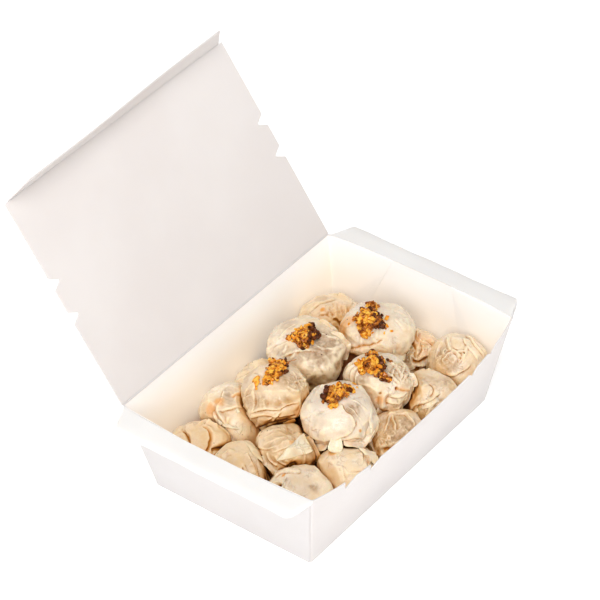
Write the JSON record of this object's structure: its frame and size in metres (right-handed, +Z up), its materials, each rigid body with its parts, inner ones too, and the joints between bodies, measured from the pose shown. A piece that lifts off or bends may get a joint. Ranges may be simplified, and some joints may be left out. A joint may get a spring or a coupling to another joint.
{
  "type": "siu mai dumplings in a takeaway box",
  "caption": "Takeaway box of siu mai: an open flared white card tray with a hinged lid and tuck flap, heaped with pleated dumplings topped with fried garlic.",
  "frame": {"origin": "middle of the tray's underside, where it rests", "axes": "+X along the lid's hinge, towards the right-hand end seen from the open front; +Y towards the hinge; +Z up"},
  "size_m": [0.1988, 0.1933, 0.166],
  "materials": {
    "card": "matte coated",
    "wrapper": "steamed dough, moist",
    "fried_garlic": "oily"
  },
  "bodies": {
    "tray": {"tray": "card", "end_rim_left": "card", "end_rim_right": "card", "siu_mai_01": "wrapper", "siu_mai_02": "wrapper", "siu_mai_03": "wrapper", "siu_mai_04": "wrapper", "siu_mai_05": "wrapper", "siu_mai_06": "wrapper", "siu_mai_07": "wrapper", "siu_mai_08": "wrapper", "siu_mai_09": "wrapper", "siu_mai_10": "wrapper", "siu_mai_11": "wrapper", "siu_mai_12": "wrapper", "siu_mai_13": "wrapper", "siu_mai_14": "wrapper", "siu_mai_15": "wrapper", "siu_mai_16": "wrapper", "siu_mai_17": "wrapper", "siu_mai_18": "wrapper", "siu_mai_19": "wrapper", "siu_mai_20": "wrapper", "garlic_01": "fried_garlic", "garlic_02": "fried_garlic", "garlic_03": "fried_garlic", "garlic_04": "fried_garlic", "garlic_05": "fried_garlic"},
    "lid": {"lid": "card"},
    "tuck_flap": {"tuck_flap": "card"}
  },
  "joints": [
    {"name": "lid_hinge", "type": "hinge", "parent": "tray", "child": "lid", "pos_m": [0, 0.0597, 0.055], "axis": [-1, 0, 0], "range_deg": [-125, 55]},
    {"name": "flap_fold", "type": "hinge", "parent": "lid", "child": "tuck_flap", "pos_m": [0, 0.12704, 0.15117], "axis": [1, 0, 0], "range_deg": [-19.8, 45]}
  ],
  "couplings": [
    {"joint": "flap_fold", "follows": "lid_hinge", "ratio": -0.36}
  ]
}
